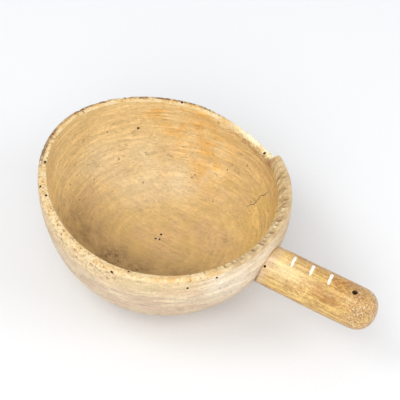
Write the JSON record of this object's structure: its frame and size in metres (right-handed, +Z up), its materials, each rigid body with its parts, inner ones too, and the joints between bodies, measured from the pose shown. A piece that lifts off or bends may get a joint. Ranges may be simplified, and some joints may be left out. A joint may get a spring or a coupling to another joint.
{
  "type": "carved wooden kuksa cup",
  "caption": "Oval hollowed wooden drinking bowl with a straight round stick handle let into its wall, for scooping and drinking.",
  "frame": {"origin": "centre of the flat foot the bowl stands on", "axes": "+X from the bowl along the handle to its tip, +Y across, +Z up out of the bowl's mouth"},
  "size_m": [0.2048, 0.1365, 0.0674],
  "materials": {
    "pale_wood": "hand-carved, worn smooth, matt",
    "golden_wood": "oiled by handling, satin",
    "white_paint": "thin brushed paint, satin"
  },
  "bodies": {
    "root": {"bowl": "pale_wood", "handle": "golden_wood", "painted_marks": "white_paint"}
  },
  "joints": []
}
